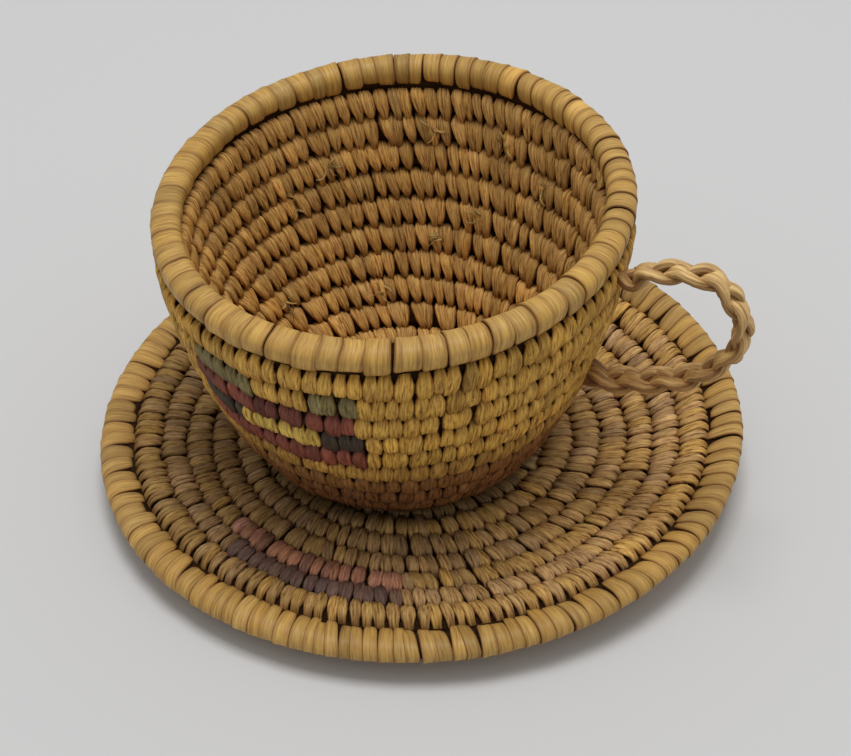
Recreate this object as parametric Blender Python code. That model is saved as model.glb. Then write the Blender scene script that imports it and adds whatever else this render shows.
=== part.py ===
"""A coiled grass teacup with a plaited handle, standing on its coiled saucer.

Each vessel is one long bundle of grass that winds out from a small start knot and is sewn to
itself row by row. Metres, +Z up. The origin is the centre of the saucer's underside, and +X
points towards the handle.
"""

import bisect
import math

import bmesh
import bpy
import numpy as np
from mathutils import Vector

MM = 0.001

# Driving dimensions of the cup
CUP_RIM_DIAMETER = 84.0 * MM
CUP_HEIGHT = 54.2 * MM
CUP_FOOT_RADIUS = 20.0 * MM
CUP_HEEL_REACH = 6.3 * MM
CUP_FLARE_LENGTH = 20.5 * MM
CUP_FLARE_INSET = 1.1 * MM
CUP_RIM_ROW_HEIGHT = 4.8 * MM
CUP_RIM_ROW_THICKNESS = 5.6 * MM
CUP_RIM_RISE = 11.0 * MM
CUP_PLACE_X = -3.4 * MM
CUP_PLACE_Y = -2.0 * MM
CUP_COIL_END_ANGLE = math.radians(8)

# Driving dimensions of the saucer
SAUCER_DIAMETER = 120.3 * MM
SAUCER_HEIGHT = 10.7 * MM
SAUCER_WELL_RADIUS = 32.0 * MM
SAUCER_WELL_REACH = 10.0 * MM
SAUCER_RIM_RUN = 7.7 * MM
SAUCER_RIM_DROP = 3.0 * MM
SAUCER_RIM_ROW_WIDTH = 5.5 * MM
SAUCER_RIM_ROW_THICKNESS = 4.4 * MM
SAUCER_RIM_RISE = 6.1 * MM
SAUCER_COIL_END_ANGLE = math.radians(85)

# The grass bundle and the splints that sew it
ROW_PITCH = 5.3 * MM
COIL_THICKNESS = 5.0 * MM
ROW_GAP = 0.47 * MM
TOUCH = 0.3 * MM
SPLINT_THICKNESS = 0.45 * MM
RIM_SPLINT_THICKNESS = 0.55 * MM
LAP_TURN = 0.17
BINDING_START = 0.3
BINDING_END = 0.42
LAP_TIP = 0.6
POINTS_PER_TURN = 24
NEAR_RING = 0.015
SHOULDER = 0.2 * MM
SLOPE_CLEARANCE = 1.15
TIP_HALF = 0.35 * MM
EYE_RADIUS = 1.9 * MM
KNOT_ROUNDING = 0.4 * MM
KNOT_CORNERS = 16
CURVE_STEPS = 400
DIRECTION_STEP = 0.5 * MM
SMOOTH_BELOW = math.radians(50)

# The dyed blocks: row counted from the rim as 1, first and last angle in degrees
CUP_BLOCKS = (
    ("cup_green_stitches_right", 3, -73.5, -87.0, "green"),
    ("cup_green_stitches_left", 3, -103.0, -121.5, "green"),
    ("cup_red_stitches_upper", 4, -73.5, -121.5, "red"),
    ("cup_dark_stitches_right", 5, -73.5, -84.5, "dark"),
    ("cup_dark_stitches_left", 5, -106.0, -121.5, "dark"),
    ("cup_red_stitches_lower", 6, -73.5, -121.5, "red"),
)
SAUCER_BLOCKS = (
    ("saucer_dark_stitches", 3, -69.5, -111.5, "dark"),
    ("saucer_red_stitches", 4, -69.5, -116.0, "red"),
)

# The plaited handle: its route's steps are (outwards, upwards) from the two roots, and the
# bend's points are (from the furthest reach, share of the height between the roots)
HANDLE_REACH = 20.8 * MM
HANDLE_LOWER_HEIGHT = 23.7 * MM
HANDLE_ROOT_RUN = 2.5 * MM
HANDLE_UPPER_RUN = ((4.5 * MM, 1.8 * MM), (10.8 * MM, 3.1 * MM), (16.2 * MM, 2.9 * MM))
HANDLE_BEND = ((-0.9 * MM, 0.91), (0.0 * MM, 0.7), (-1.7 * MM, 0.47))
HANDLE_LOWER_RUN = ((19.2 * MM, 4.4 * MM), (10.9 * MM, 0.9 * MM), (5.2 * MM, -0.5 * MM))
PLAIT_WIDTH = 4.5 * MM
PLAIT_PERIOD = 18.0 * MM
PLAIT_ROOT = 1.5 * MM
STRAND_RADIUS = 0.65 * MM
STRAND_CLEARANCE = 0.25 * MM
CROSSING_SHARE = 1.5
POINTS_PER_PLAIT = 18
ROUTE_STEPS = 24

# Colour, roughness: Principled BSDF values of each finish
FINISHES = {
    "natural": ((0.33, 0.19, 0.06), 0.62),
    "rim": ((0.44, 0.27, 0.085), 0.52),
    "red": ((0.19, 0.07, 0.045), 0.65),
    "dark": ((0.045, 0.03, 0.022), 0.6),
    "green": ((0.16, 0.12, 0.05), 0.65),
    "handle": ((0.42, 0.26, 0.11), 0.6),
    "knot": ((0.3, 0.175, 0.06), 0.65),
}


def smooth(t):
    return t * t * (3 - 2 * t)


def make_material(name, finish):
    colour, roughness = FINISHES[finish]
    material = bpy.data.materials.new(name + "_material")
    material.use_nodes = True
    shader = material.node_tree.nodes["Principled BSDF"]
    shader.inputs["Base Color"].default_value = (*colour, 1.0)
    shader.inputs["Roughness"].default_value = roughness
    shader.inputs["Metallic"].default_value = 0.0
    return material


def place_object(name, data, finish, parent):
    data.materials.append(make_material(name, finish))
    made = bpy.data.objects.new(name, data)
    bpy.context.scene.collection.objects.link(made)
    made.parent = parent
    return made


class Meridian:
    """The coil's centre line seen side on: flat from the axis, then one Bezier curve to the rim."""

    def __init__(self, flat_radius, height, controls):
        start = np.array((flat_radius, height))
        corners = [start] + [np.array(point) for point in controls]
        t = np.linspace(0.0, 1.0, CURVE_STEPS + 1)[:, None]
        curve = (
            (1 - t) ** 3 * corners[0]
            + 3 * t * (1 - t) ** 2 * corners[1]
            + 3 * t**2 * (1 - t) * corners[2]
            + t**3 * corners[3]
        )
        self.points = np.vstack([[0.0, height], curve])
        steps = np.linalg.norm(np.diff(self.points, axis=0), axis=1)
        self.along = np.concatenate([[0.0], np.cumsum(steps)])
        self.length = self.along[-1]

    def point(self, s):
        return np.array([np.interp(s, self.along, self.points[:, i]) for i in (0, 1)])

    def at(self, s):
        """The centre (r, z) at arc length s, and the unit direction of the rows there."""
        inside = min(s, self.length)
        before = self.point(max(inside - DIRECTION_STEP, 0.0))
        after = self.point(min(inside + DIRECTION_STEP, self.length))
        direction = (after - before) / np.linalg.norm(after - before)
        return self.point(inside) + direction * (s - inside), direction


class Coil:
    """One vessel's spiral: turns counted from the start knot, whose last turn is the rim.

    The lean is the rim's slope across the vessel. The fade gives the share of it at a point
    (r, z), from nothing at the flat foot to all of it at the rim.
    """

    def __init__(self, meridian, rim_row, rim_thickness, end_angle, blocks, lean, fade):
        self.meridian = meridian
        self.rim_half = rim_row / 2
        self.rim_across = rim_thickness / 2
        self.end_angle = end_angle
        self.lean = lean
        self.fade = fade
        room = meridian.length - self.rim_half - ROW_GAP / 2
        below_rim = max(3, round(room / ROW_PITCH - 0.5))
        self.turns = below_rim + 1
        self.wall_top = room * below_rim / (below_rim + 0.5)
        reach = EYE_RADIUS + 2 * TIP_HALF + ROW_GAP / 2
        self.first = max(0.0, reach * below_rim / self.wall_top - 0.5)
        self.tip = self.turns + 1 - LAP_TURN * (1 - LAP_TIP)
        self.rim_span = (
            self.turns - LAP_TURN * (1 - BINDING_START),
            self.turns + 1 - LAP_TURN * (1 - BINDING_END),
        )
        self.block_spans = [self.block_span(*block[1:4]) for block in blocks]

    def angle(self, q):
        return self.end_angle - 2 * math.pi * q

    def block_span(self, row, first_degrees, last_degrees):
        """The stretch, in turns, of a block in the given row, counted from the rim as 1."""
        spans = []
        for degrees in (first_degrees, last_degrees):
            part = (self.end_angle - math.radians(degrees)) / (2 * math.pi) % 1.0
            spans.append(self.turns - (row - 1) + part)
        return tuple(spans)

    def place(self, q):
        """Arc length, half height and half thickness of the sewn coil at turn count q.

        The first turn is a tapering tail bent tightly round the start knot, over which the next
        one steps. The rows keep the rim level: where the last turn is full, the next one laps
        under its tapering tail and grows to the rim's size.
        """
        if q >= self.turns:
            return self.rim_place(q)
        part = q - math.floor(q)
        lap = smooth(max(0.0, (part - (1 - LAP_TURN)) / LAP_TURN))
        share = self.turns - 1 + min(part, 1 - LAP_TURN) - (1 - LAP_TURN) * lap
        pitch = self.wall_top / share
        half = (pitch - ROW_GAP) / 2
        if q < 1:
            outer = pitch * q + half
            inner = EYE_RADIUS * (1 - lap) + (pitch * q - half) * lap
            return (inner + outer) / 2, (outer - inner) / 2, COIL_THICKNESS / 2
        if math.floor(q) < self.turns - 1:
            return pitch * q, half, COIL_THICKNESS / 2
        growth = (self.rim_half - half) * lap
        across = COIL_THICKNESS / 2 * (1 - lap) + self.rim_across * lap
        return pitch * q + growth, half + growth, across

    def rim_place(self, q):
        if q - self.turns <= 1 - LAP_TURN:
            return self.meridian.length, self.rim_half, self.rim_across
        below, below_half, _ = self.place(q - 1)
        top = self.meridian.length + self.rim_half
        half = max(top - (below + below_half + ROW_GAP), 2 * TIP_HALF) / 2
        return top - half, half, self.rim_across * half / self.rim_half

    def splint(self, q):
        """Thickness of the splints that are sewn over the coil at q, or zero."""
        if q >= self.rim_span[0]:
            return RIM_SPLINT_THICKNESS
        inside = [first <= q <= last for first, last in self.block_spans]
        return SPLINT_THICKNESS if any(inside) else 0.0

    def ring(self, q, inset=0.0):
        """Six corners of the section at turn count q.

        Between the angles that all rows share they lie on the straight edges from one shared
        angle to the next, so that neighbouring rows stay parallel.
        """
        step = 1 / POINTS_PER_TURN
        low = math.floor(q / step + 1e-6) * step
        if q - low < 1e-6:
            return self.full_ring(low, inset)
        return cut_at(self.full_ring(low, inset), self.full_ring(low + step, inset), self.angle(q))

    def full_ring(self, q, inset):
        """Six corners on the spiral, flat on both faces and pointed towards the next rows.

        Nothing reaches below the flat underside, where the first rows of the wall tip up.
        """
        s, half, across = self.place(q)
        centre, direction = self.meridian.at(s)
        normal = np.array((direction[1], -direction[0]))
        to_side = across * half / math.hypot(across, half / 2)
        scale = max(1 - inset / to_side, TIP_HALF / half)
        turn = self.angle(q)
        corners = []
        for u, v in ((0, 1), (1, 0.5), (1, -0.5), (0, -1), (-1, -0.5), (-1, 0.5)):
            r, z = centre + (normal * u * across + direction * v * half) * scale
            x, y = r * math.cos(turn), r * math.sin(turn)
            corners.append(Vector((x, y, max(z + self.lean * y * self.fade(r, z), 0.0))))
        return corners

    def grid(self, first, last, extra=()):
        """Turn counts between first and last on the common angles, with the extra ones."""
        low = math.ceil(first * POINTS_PER_TURN - 1e-6)
        high = math.floor(last * POINTS_PER_TURN + 1e-6)
        fixed = [first, last, *extra]
        near = NEAR_RING / POINTS_PER_TURN
        counts = [i / POINTS_PER_TURN for i in range(low, high + 1)]
        kept = [q for q in counts if min(abs(q - f) for f in fixed) > near]
        return sorted(kept + fixed)

    def arc(self, q, length):
        """The share of a turn that the given length takes at turn count q."""
        radius = self.meridian.at(self.place(q)[0])[0][0]
        return length / (2 * math.pi * radius)

    def coil_rings(self):
        """The bundle's turn counts and rings, thinner where separate splints are sewn over it."""
        extra = [self.rim_span[0], self.rim_span[0] - self.arc(self.turns, SHOULDER)]
        extra.append(self.rim_span[1])
        for first, last in self.block_spans:
            extra += [first - self.arc(first, SHOULDER), first]
            extra += [last, last + self.arc(last, SHOULDER)]
        counts = self.grid(self.first, self.tip, extra)
        rings = []
        for q in counts:
            cover = self.splint(q)
            rings.append(self.ring(q, cover + TOUCH * SLOPE_CLEARANCE if cover else 0.0))
        return counts, rings

    def splint_rings(self, span):
        """Outer and inner corners of the splints over one stretch, clear of its shoulders."""
        first = span[0] + self.arc(span[0], TOUCH)
        last = span[1] - self.arc(span[1], TOUCH)
        counts = self.grid(first, last)
        outer = [self.ring(q) for q in counts]
        inner = [self.ring(q, self.splint(q)) for q in counts]
        return outer, inner

    def least_gap(self, counts, rings):
        """The least distance between a ring's corners and the sides of the rows next to it."""
        least = math.inf
        for q, ring in zip(counts, rings):
            for beside in (q - 1, q + 1):
                if not counts[0] <= beside <= counts[-1]:
                    continue
                after = min(bisect.bisect_right(counts, beside), len(counts) - 1)
                other = cut_at(rings[after - 1], rings[after], self.angle(beside))
                for corner in ring:
                    for i, end in enumerate(other):
                        least = min(least, distance_to_side(corner, other[i - 1], end))
        return least


def cut_at(first_ring, second_ring, turn):
    """The points where the straight edges between two rings pass the given angle."""
    side = Vector((-math.sin(turn), math.cos(turn), 0.0))
    points = []
    for start, end in zip(first_ring, second_ring):
        from_start, from_end = start.dot(side), end.dot(side)
        points.append(start.lerp(end, from_start / (from_start - from_end)))
    return points


def distance_to_side(point, start, end):
    side = end - start
    share = min(1.0, max(0.0, (point - start).dot(side) / side.length_squared))
    return (start + side * share - point).length


def close_mesh(name, bm):
    bmesh.ops.recalc_face_normals(bm, faces=bm.faces)
    data = bpy.data.meshes.new(name)
    bm.to_mesh(data)
    bm.free()
    data.shade_smooth()
    data.set_sharp_from_angle(angle=SMOOTH_BELOW)
    return data


def add_tube(bm, rings):
    """The side faces of a tube through the rings, returned as loops of vertices."""
    loops = [[bm.verts.new(corner) for corner in ring] for ring in rings]
    for low, high in zip(loops, loops[1:]):
        for i in range(len(low)):
            j = (i + 1) % len(low)
            bm.faces.new((low[i], low[j], high[j], high[i]))
    return loops


def solid_tube(name, rings):
    bm = bmesh.new()
    loops = add_tube(bm, rings)
    bm.faces.new(loops[0])
    bm.faces.new(loops[-1])
    return close_mesh(name, bm)


def open_tube(name, outer, inner):
    """A sleeve: an outer and an inner tube joined by a flat ring at each end."""
    bm = bmesh.new()
    outside = add_tube(bm, outer)
    inside = add_tube(bm, inner)
    for end in (0, -1):
        for i in range(len(outside[end])):
            j = (i + 1) % len(outside[end])
            bm.faces.new((outside[end][i], outside[end][j], inside[end][j], inside[end][i]))
    return close_mesh(name, bm)


def start_knot(name, parent):
    """The round knot of splints that fills the eye of the spiral, flat on the underside."""
    radius = EYE_RADIUS * math.cos(math.pi / POINTS_PER_TURN) - TOUCH
    bm = bmesh.new()
    corners = []
    for i in range(KNOT_CORNERS):
        a = 2 * math.pi * i / KNOT_CORNERS
        corners.append(bm.verts.new((radius * math.cos(a), radius * math.sin(a), 0.0)))
    face = bm.faces.new(corners)
    made = bmesh.ops.extrude_face_region(bm, geom=[face])
    top = [item for item in made["geom"] if isinstance(item, bmesh.types.BMVert)]
    bmesh.ops.translate(bm, verts=top, vec=(0.0, 0.0, COIL_THICKNESS))
    rims = [e for e in bm.edges if abs(e.verts[0].co.z - e.verts[1].co.z) < 1e-9]
    bmesh.ops.bevel(bm, geom=rims, offset=KNOT_ROUNDING, segments=2, profile=0.5, affect="EDGES")
    place_object(name, close_mesh(name, bm), "knot", parent)


def build_vessel(prefix, coil, blocks, parent):
    name = prefix + "_sewn_coil"
    counts, rings = coil.coil_rings()
    place_object(name, solid_tube(name, rings), "natural", parent)
    print(f"{name}: its least gap to itself is {coil.least_gap(counts, rings) / MM:.2f} mm")
    start_knot(prefix + "_start_knot", parent)
    for span, block in zip(coil.block_spans, blocks):
        place_object(block[0], open_tube(block[0], *coil.splint_rings(span)), block[4], parent)
    name = prefix + "_rim_binding"
    place_object(name, open_tube(name, *coil.splint_rings(coil.rim_span)), "rim", parent)


def cup_coil():
    rim_radius = (CUP_RIM_DIAMETER - CUP_RIM_ROW_THICKNESS) / 2
    rim_height = CUP_HEIGHT - CUP_RIM_ROW_HEIGHT / 2
    foot = COIL_THICKNESS / 2
    controls = (
        (CUP_FOOT_RADIUS + CUP_HEEL_REACH, foot),
        (rim_radius - CUP_FLARE_INSET, rim_height - CUP_FLARE_LENGTH),
        (rim_radius, rim_height),
    )
    meridian = Meridian(CUP_FOOT_RADIUS, foot, controls)

    def fade(r, z):
        return z / CUP_HEIGHT

    return Coil(
        meridian,
        CUP_RIM_ROW_HEIGHT,
        CUP_RIM_ROW_THICKNESS,
        CUP_COIL_END_ANGLE,
        CUP_BLOCKS,
        CUP_RIM_RISE / CUP_RIM_DIAMETER,
        fade,
    )


def saucer_coil():
    rim_radius = (SAUCER_DIAMETER - SAUCER_RIM_ROW_WIDTH) / 2
    rim_height = SAUCER_HEIGHT - SAUCER_RIM_ROW_THICKNESS / 2
    base = COIL_THICKNESS / 2
    controls = (
        (SAUCER_WELL_RADIUS + SAUCER_WELL_REACH, base),
        (rim_radius - SAUCER_RIM_RUN, rim_height - SAUCER_RIM_DROP),
        (rim_radius, rim_height),
    )
    meridian = Meridian(SAUCER_WELL_RADIUS, base, controls)

    def fade(r, z):
        share = max(r - SAUCER_WELL_RADIUS, 0.0) / (rim_radius - SAUCER_WELL_RADIUS)
        return share**2

    return Coil(
        meridian,
        SAUCER_RIM_ROW_WIDTH,
        SAUCER_RIM_ROW_THICKNESS,
        SAUCER_COIL_END_ANGLE,
        SAUCER_BLOCKS,
        SAUCER_RIM_RISE / SAUCER_DIAMETER,
        fade,
    )


def wall_seat(coil, row):
    """Where a strand meets the flat outer face of a row at the handle, and that face's normal."""
    part = coil.end_angle / (2 * math.pi) % 1.0
    s = coil.place(coil.turns - (row - 1) + part)[0]
    centre, direction = coil.meridian.at(s)
    normal = np.array((direction[1], -direction[0]))
    return centre + normal * (COIL_THICKNESS / 2 + TOUCH), normal


def handle_route(coil):
    """The handle's centre line in the upright plane through the cup's axis, as (r, z) points."""
    rows = range(3, coil.turns)
    heights = [abs(wall_seat(coil, row)[0][1] - HANDLE_LOWER_HEIGHT) for row in rows]
    lower_row = rows[heights.index(min(heights))]
    upper, upper_normal = wall_seat(coil, 2)
    lower, lower_normal = wall_seat(coil, lower_row)
    reach = CUP_RIM_DIAMETER / 2 + HANDLE_REACH
    points = [upper, upper + upper_normal * HANDLE_ROOT_RUN]
    points += [upper + np.array(step) for step in HANDLE_UPPER_RUN]
    for inset, share in HANDLE_BEND:
        points.append(np.array((reach + inset, lower[1] + share * (upper[1] - lower[1]))))
    points += [lower + np.array(step) for step in HANDLE_LOWER_RUN]
    points += [lower + lower_normal * HANDLE_ROOT_RUN, lower]
    return np.array(points)


def smooth_route(points, count):
    """Evenly spaced points on a Catmull-Rom curve through the given ones."""
    ends = [2 * points[0] - points[1], *points, 2 * points[-1] - points[-2]]
    fine = []
    for a, b, c, d in zip(ends, ends[1:], ends[2:], ends[3:]):
        for t in np.linspace(0.0, 1.0, ROUTE_STEPS, endpoint=False):
            fine.append(
                0.5
                * (
                    2 * b
                    + (c - a) * t
                    + (2 * a - 5 * b + 4 * c - d) * t**2
                    + (3 * b - a - 3 * c + d) * t**3
                )
            )
    fine = np.array(fine + [points[-1]])
    steps = np.linalg.norm(np.diff(fine, axis=0), axis=1)
    along = np.concatenate([[0.0], np.cumsum(steps)])
    places = np.linspace(0.0, along[-1], count)
    route = np.stack([np.interp(places, along, fine[:, i]) for i in (0, 1)], axis=1)
    return places, route


def build_handle(coil, parent):
    """Three strands plaited flat, side by side and straight where they meet the wall.

    Where two strands cross, their centres lie at least the crossing share of the lift apart.
    """
    swing = PLAIT_WIDTH / 2 - STRAND_RADIUS
    rise = (2 * STRAND_RADIUS + STRAND_CLEARANCE) / CROSSING_SHARE
    rough, _ = smooth_route(handle_route(coil), 2)
    length = rough[-1]
    thirds = max(3, round(3 * (length - 2 * PLAIT_ROOT) / PLAIT_PERIOD))
    count = round(POINTS_PER_PLAIT * thirds / 3) + 1
    places, route = smooth_route(handle_route(coil), count)
    tangents = np.gradient(route, axis=0)
    tangents /= np.linalg.norm(tangents, axis=1)[:, None]
    plaited = np.clip((places - PLAIT_ROOT) / (length - 2 * PLAIT_ROOT), 0.0, 1.0)
    for strand in range(3):
        points = []
        for share, (r, z), (dr, dz) in zip(plaited, route, tangents):
            phase = 2 * math.pi * (thirds * share + strand) / 3
            across = swing * math.sin(phase)
            lift = rise * math.sin(2 * phase)
            points.append((r - dz * lift, across, z + dr * lift))
        name = f"handle_strand_{strand + 1}"
        curve = bpy.data.curves.new(name, "CURVE")
        curve.dimensions = "3D"
        curve.bevel_depth = STRAND_RADIUS
        curve.bevel_resolution = 1
        curve.use_fill_caps = True
        spline = curve.splines.new("POLY")
        spline.points.add(len(points) - 1)
        for point, place in zip(spline.points, points):
            point.co = (*place, 1.0)
        place_object(name, curve, "handle", parent)


def main():
    for old in list(bpy.data.objects):
        bpy.data.objects.remove(old)
    saucer = bpy.data.objects.new("saucer_axis", None)
    cup = bpy.data.objects.new("cup_lift_axis", None)
    cup.location = (CUP_PLACE_X, CUP_PLACE_Y, COIL_THICKNESS + TOUCH)
    for empty in (saucer, cup):
        bpy.context.scene.collection.objects.link(empty)
    build_vessel("saucer", saucer_coil(), SAUCER_BLOCKS, saucer)
    cup_winding = cup_coil()
    build_vessel("cup", cup_winding, CUP_BLOCKS, cup)
    build_handle(cup_winding, cup)


main()
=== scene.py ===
"""Looks of a coiled grass teacup with a plaited handle and its coiled saucer.

Every stitch is a strap of split grass that goes over its row's bundle and is buried in the row
below. The rows follow the same spiral as the CAD model. Metres, +Z up.
"""

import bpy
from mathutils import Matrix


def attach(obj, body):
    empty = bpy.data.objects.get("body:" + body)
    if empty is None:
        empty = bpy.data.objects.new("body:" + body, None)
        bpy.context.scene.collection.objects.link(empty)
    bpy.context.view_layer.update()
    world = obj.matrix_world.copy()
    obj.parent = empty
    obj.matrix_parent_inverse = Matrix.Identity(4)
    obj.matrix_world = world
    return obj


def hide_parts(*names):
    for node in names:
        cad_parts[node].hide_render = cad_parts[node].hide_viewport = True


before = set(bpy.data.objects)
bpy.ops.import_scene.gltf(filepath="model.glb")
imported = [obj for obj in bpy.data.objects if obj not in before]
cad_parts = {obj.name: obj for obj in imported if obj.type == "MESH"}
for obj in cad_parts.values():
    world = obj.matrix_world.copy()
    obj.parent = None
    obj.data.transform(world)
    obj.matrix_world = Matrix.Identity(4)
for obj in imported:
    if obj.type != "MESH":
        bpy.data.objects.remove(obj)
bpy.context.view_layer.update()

import copy
import math

import bpy
import numpy as np
from bpy.props import FloatProperty, FloatVectorProperty, IntProperty, PointerProperty
from bpy.types import Operator, Panel, PropertyGroup
from mathutils import Matrix, Vector

bl_info = {
    "name": "Coiled Grass Teacup",
    "version": (1, 0, 0),
    "blender": (4, 5, 0),
    "location": "3D View > Sidebar > Basket",
    "description": "Sews a coiled grass teacup and saucer stitch by stitch over a packed model",
    "category": "Add Mesh",
}

MM = 0.001

# The spiral's fixed proportions, which the CAD model shares
LAP_TURN = 0.17
TIP_HALF = 0.35 * MM
CURVE_STEPS = 400
DIRECTION_STEP = 0.5 * MM
TABLE_STEPS_PER_TURN = 96
SMALLEST_HALF = 0.9 * MM
SMALLEST_RADIUS = 2.4 * MM

# The rim core under the wraps, as shares of the CAD rim row's height and thickness
RIM_SHARES = {"cup": (0.76, 0.84), "saucer": (1.0, 0.7)}

# The bundle's half sizes as shares of its row's: across, upwards, downwards. The rim's reaches
# down, by a share of the CAD rim row, to close the wedge where the last row runs out.
WALL_BUNDLE = (0.86, 1.1, 1.1)
RIM_BUNDLE = (0.86, 0.86, 2.15)
BUNDLE_SIDES = 14
BUNDLE_STEPS_PER_TURN = 60
BUNDLE_RIPPLE = 0.03
# An even painted shade over the whole bundle, through its crevice value
BUNDLE_CREVICE = 0.3

# How uneven the sewing is: spacing as a share, ranges of width and bulge, mean and spread of the
# leans at the outer and the inner tip, and how strongly the tips aim at gaps in the row below
STITCH_JITTER, STITCH_WIDTHS, STITCH_BULGES = 0.22, (1.02, 1.18), (0.7, 1.35)
STITCH_LEAN_SPREADS = (0.2 * MM, 0.35 * MM)
STITCH_AIMS = (0.35, 0.3)
WRAP_JITTER, WRAP_WIDTHS, WRAP_BULGES = 0.2, (1.0, 1.16), (0.7, 1.5)
WRAP_LEANS = (0.3 * MM, 0.9 * MM)
WRAP_LEAN_SPREADS = (0.35 * MM, 0.5 * MM)

# How thin the saucer's wraps are beside the cup's, how many rows at the top are a piece of their
# own, and how many turns up the spiral the first stitch sits
SAUCER_WRAP_SHARE = 0.85
OUTER_ROWS = 3.5
FIRST_STITCH = 0.03

# The painted contact shadow, a dark ring on the straps where the cup stands: out from the foot,
# width, height, gain and darkness
RING_OUT, RING_WIDTH, RING_HEIGHT = 4.0 * MM, 2.2 * MM, 3.0 * MM
RING_GAIN, RING_DARKNESS = 2.2, 0.55

# The handle's route, in millimetres outwards and upwards from its two roots. The bend has steps
# in from the full reach, and shares of the height between the roots.
HANDLE_UPPER_RUN = ((4.5, 1.8), (10.8, 3.1), (16.2, 2.9))
HANDLE_BEND = ((-0.9, 0.91), (0.0, 0.7), (-1.7, 0.47))
HANDLE_LOWER_RUN = ((19.2, 4.4), (10.9, 0.9), (5.2, -0.5))
ROOT_DEPTH = 1.2 * MM
ROUTE_STEPS = 24
STEPS_PER_THIRD = 20
STRIP_SIDES = 16

# The start knots: points round and up, and their radius as a share of the eye's
KNOT_SIDES = 24
KNOT_LEVELS = 7
KNOT_SHARE = 1.12

# The dyed blocks: CAD node, row counted from the rim as 1, first and last angle in degrees
CUP_BLOCKS = (
    ("cup_green_stitches_right", 3, -73.5, -87.0, "green"),
    ("cup_green_stitches_left", 3, -103.0, -121.5, "green"),
    ("cup_red_stitches_upper", 4, -73.5, -121.5, "red"),
    ("cup_dark_stitches_right", 5, -73.5, -84.5, "dark"),
    ("cup_dark_stitches_left", 5, -106.0, -121.5, "dark"),
    ("cup_red_stitches_lower", 6, -73.5, -121.5, "red"),
)

# Where the two dark blocks stand in that list, counted from 0
DARK_RIGHT, DARK_LEFT = 3, 4

SAUCER_BLOCKS = (
    ("saucer_dark_stitches", 3, -69.5, -111.5, "dark"),
    ("saucer_red_stitches", 4, -69.5, -116.0, "red"),
)

# Frayed spots on the cup's inner wall: row counted from the rim as 1, and angle in degrees
FRAYED_PLACES = (
    (8, 164), (7, 98), (3, 102), (4, 136), (4, 60),
    (3, 78), (6, 84), (5, 150), (9, 120), (6, 30),
)
FIBRES_PER_END = 6
FIBRE_STEPS = 7
FIBRE_SIDES = 3


def length(name, description, millimetres):
    return FloatProperty(
        name=name, description=description, default=millimetres * MM, unit="LENGTH", precision=5
    )


def angle(name, description, degrees):
    return FloatProperty(
        name=name, description=description, default=math.radians(degrees), unit="ROTATION"
    )


def colour(name, description, value):
    return FloatVectorProperty(
        name=name, description=description, default=value, subtype="COLOR", size=3, min=0, max=1
    )


class CupSizes(PropertyGroup):
    """Sizes of the cup's spiral."""

    rim_diameter: length("Rim Diameter", "Across the rim row", 84.0)
    height: length("Height", "From the foot to the level rim", 54.2)
    foot_radius: length("Foot Radius", "Flat part of the foot", 20.0)
    heel_reach: length("Heel Reach", "How far the heel swings out", 6.3)
    flare_length: length("Flare Length", "Upright stretch under the rim", 20.5)
    flare_inset: length("Flare Inset", "How far that stretch stands in", 1.1)
    rim_row_height: length("Rim Row Height", "Height of the rim row", 4.8)
    rim_row_thickness: length("Rim Row Thickness", "Thickness of the rim row", 5.6)
    rim_rise: length("Rim Rise", "How much higher the far side stands", 11.0)
    place_x: length("Place X", "The cup's axis on the saucer", -3.4)
    place_y: length("Place Y", "The cup's axis on the saucer", -2.0)
    coil_end: angle("Coil End", "Where the coil ends", 8)


class SaucerSizes(PropertyGroup):
    """Sizes of the saucer's spiral."""

    diameter: length("Diameter", "Across the rim row", 120.3)
    height: length("Height", "From the table to the rim's top", 10.7)
    well_radius: length("Well Radius", "Flat part in the middle", 32.0)
    well_reach: length("Well Reach", "How far the curve starts flat", 10.0)
    rim_run: length("Rim Run", "Outward run of the last curve", 7.7)
    rim_drop: length("Rim Drop", "Downward run of the last curve", 3.0)
    rim_row_width: length("Rim Row Width", "Width of the rim row", 5.5)
    rim_row_thickness: length("Rim Row Thickness", "Thickness of the rim row", 4.4)
    rim_rise: length("Rim Rise", "How much higher the far side stands", 6.1)
    coil_end: angle("Coil End", "Where the coil ends", 85)


class SewingSizes(PropertyGroup):
    """Sizes of the bundle and of the splints that sew it."""

    row_pitch: length("Row Pitch", "From one row to the next", 5.3)
    coil_thickness: length("Coil Thickness", "Through the wall", 5.0)
    row_gap: length("Row Gap", "Gap between the CAD rows", 0.47)
    touch: length("Touch", "Gap between CAD pieces that touch", 0.3)
    eye_radius: length("Eye Radius", "Inside the first turn", 1.9)
    cup_stitch: length("Cup Stitch", "Spacing of the cup's stitches", 2.5)
    saucer_stitch: length("Saucer Stitch", "Spacing of the saucer's stitches", 2.15)
    stitch_thickness: length("Stitch Thickness", "Bulge of a stitch", 0.62)
    cup_wrap: length("Cup Rim Wrap", "Spacing of the near wraps", 4.4)
    cup_wrap_far: length("Cup Rim Wrap Far", "Spacing of the far wraps", 3.1)
    saucer_wrap: length("Saucer Rim Wrap", "Spacing of most wraps", 3.3)
    saucer_wrap_near: length("Saucer Rim Wrap Near", "Spacing of the near wraps", 2.2)
    wrap_thickness: length("Wrap Thickness", "Step from wrap to wrap", 0.36)
    seed: IntProperty(name="Seed", description="Changes every small irregularity", default=7)


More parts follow.
